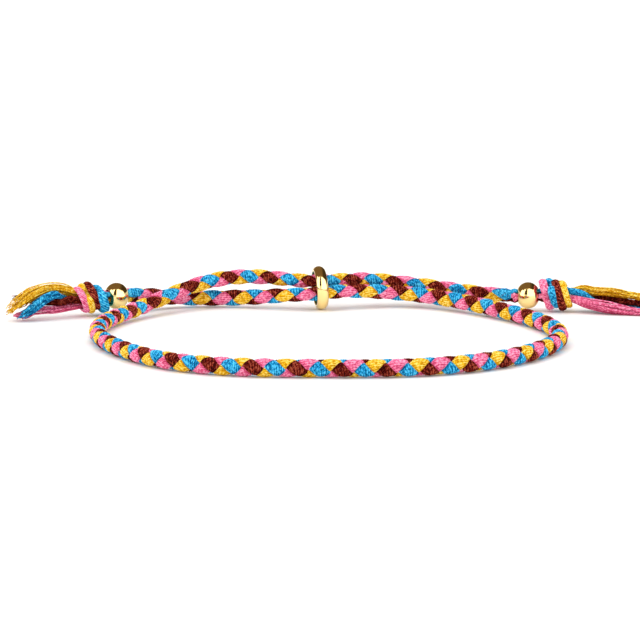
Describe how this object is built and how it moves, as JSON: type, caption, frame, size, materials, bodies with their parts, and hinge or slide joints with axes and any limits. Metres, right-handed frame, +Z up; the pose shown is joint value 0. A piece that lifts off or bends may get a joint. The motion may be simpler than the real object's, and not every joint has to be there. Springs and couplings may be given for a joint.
{
  "type": "friendship bracelet",
  "caption": "Round braided cord bracelet that closes through a sliding metal ring, with a bead, a knot and a tassel on each end.",
  "frame": {"origin": "on the surface the bracelet lies on, under the middle of its whole box, tassels included", "axes": "+X to the viewer's right along the long way of the loop, +Y away from the viewer towards the ring, +Z up"},
  "size_m": [0.098, 0.0658, 0.0066],
  "materials": {
    "floss_blue": "silky twisted cotton floss",
    "floss_maroon": "silky twisted cotton floss",
    "floss_yellow": "silky twisted cotton floss",
    "floss_pink": "silky twisted cotton floss",
    "gold": "polished gold plating"
  },
  "bodies": {
    "root": {"strand_blue": "floss_blue", "strand_maroon": "floss_maroon", "strand_yellow": "floss_yellow", "strand_pink": "floss_pink", "slider_ring": "gold", "bead_left": "gold", "bead_right": "gold"}
  },
  "joints": []
}
